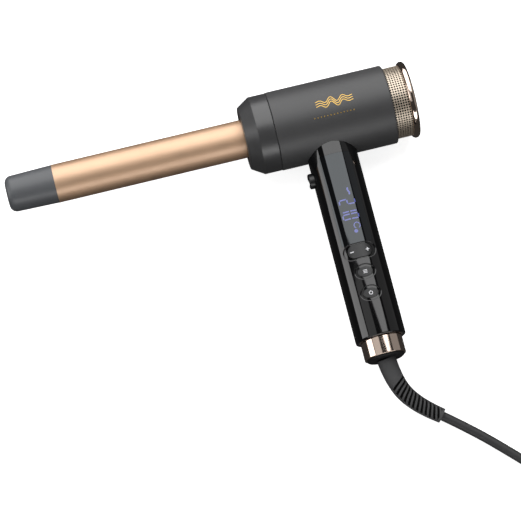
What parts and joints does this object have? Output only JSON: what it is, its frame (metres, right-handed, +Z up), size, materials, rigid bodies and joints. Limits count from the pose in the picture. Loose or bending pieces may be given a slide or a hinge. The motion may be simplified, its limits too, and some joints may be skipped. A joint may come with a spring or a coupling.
{
  "type": "curling wand",
  "caption": "Curling wand with a straight heated barrel, a round housing with a perforated rear sleeve, a right-angled pistol handle with display and buttons, and a coiled mains cord.",
  "frame": {"origin": "on the table, under the middle of the wand's box without the cord", "axes": "+X along the barrel from the tip to the rear flange, +Y from the handle's end to the barrel, +Z up, away from the table, on the side with the display"},
  "size_m": [0.5074, 0.4029, 0.066],
  "materials": {
    "tip_polymer": "satin heat-resistant moulding",
    "barrel_anodised": "satin champagne anodised",
    "soft_touch": "soft-touch coated moulding",
    "nose_satin": "semi-gloss moulding",
    "gold_mesh": "perforated, anodised gold",
    "rose_gold": "polished rose-gold plating",
    "vent_plastic": "fine-textured moulding",
    "piano_black": "piano black",
    "window_gloss": "smoked gloss",
    "button_gloss": "gloss with white marks",
    "relief_rubber": "matte moulded elastomer",
    "cord_rubber": "matte cord sheath",
    "plug_moulding": "moulded plug",
    "pin_metal": "nickel-plated",
    "heater_ceramic": "alumina",
    "spreader_metal": "extruded",
    "inner_polymer": "glass-filled moulding",
    "board_laminate": "glass-epoxy board",
    "component_black": "moulded component",
    "screw_steel": "zinc-plated steel",
    "wire_sleeve": "glass-fibre sleeving",
    "tie_strap": "soft strap"
  },
  "bodies": {
    "wand": {"cool_tip": "tip_polymer", "barrel_tube": "barrel_anodised", "heater_plate": "heater_ceramic", "spreader_upper": "spreader_metal", "spreader_lower": "spreader_metal", "thermistor": "component_black", "thermal_fuse": "screw_steel", "barrel_mount": "inner_polymer", "mount_screws": "screw_steel", "nose_ring": "nose_satin", "housing_shell": "soft_touch", "inner_chassis": "inner_polymer", "grille_sleeve": "gold_mesh", "flange_ring": "rose_gold", "rear_cover": "vent_plastic", "heater_wires": "wire_sleeve", "handle_shell": "piano_black", "display_window": "window_gloss", "board_carrier": "inner_polymer", "control_board": "board_laminate", "board_screws": "screw_steel", "tact_switches": "component_black", "display_module": "component_black", "power_capacitor": "component_black", "switching_triac": "component_black", "rocker_pin": "screw_steel", "trigger_switch": "component_black", "handle_end_collar": "rose_gold", "cord_gland": "relief_rubber", "cord_tail": "cord_rubber", "cord_clamp": "inner_polymer", "clamp_screws": "screw_steel", "strain_relief": "relief_rubber", "cord_lead": "cord_rubber", "cord_coil": "cord_rubber", "cord_tie": "tie_strap", "cord_end": "cord_rubber", "plug_relief": "plug_moulding", "plug_body": "plug_moulding", "plug_pins": "pin_metal"},
    "rocker": {"rocker_button": "button_gloss"},
    "mode": {"mode_button": "button_gloss"},
    "power": {"power_button": "button_gloss"},
    "trigger": {"trigger_button": "button_gloss"}
  },
  "joints": [
    {"name": "rocker_tilt", "type": "hinge", "parent": "wand", "child": "rocker", "pos_m": [0.09585, -0.03333, 0.04039], "axis": [0, -0.9979, -0.0645], "range_deg": [-3.5, 3.5], "stiffness_Nm_per_rad": 0.15},
    {"name": "mode_press", "type": "slide", "parent": "wand", "child": "mode", "axis": [0, 0.0645, -0.9979], "range_m": [0, 0.0008], "stiffness_N_per_m": 900},
    {"name": "power_press", "type": "slide", "parent": "wand", "child": "power", "axis": [0, 0.0645, -0.9979], "range_m": [0, 0.0008], "stiffness_N_per_m": 900},
    {"name": "trigger_press", "type": "slide", "parent": "wand", "child": "trigger", "axis": [1, 0, 0], "range_m": [0, 0.0015], "stiffness_N_per_m": 700}
  ]
}
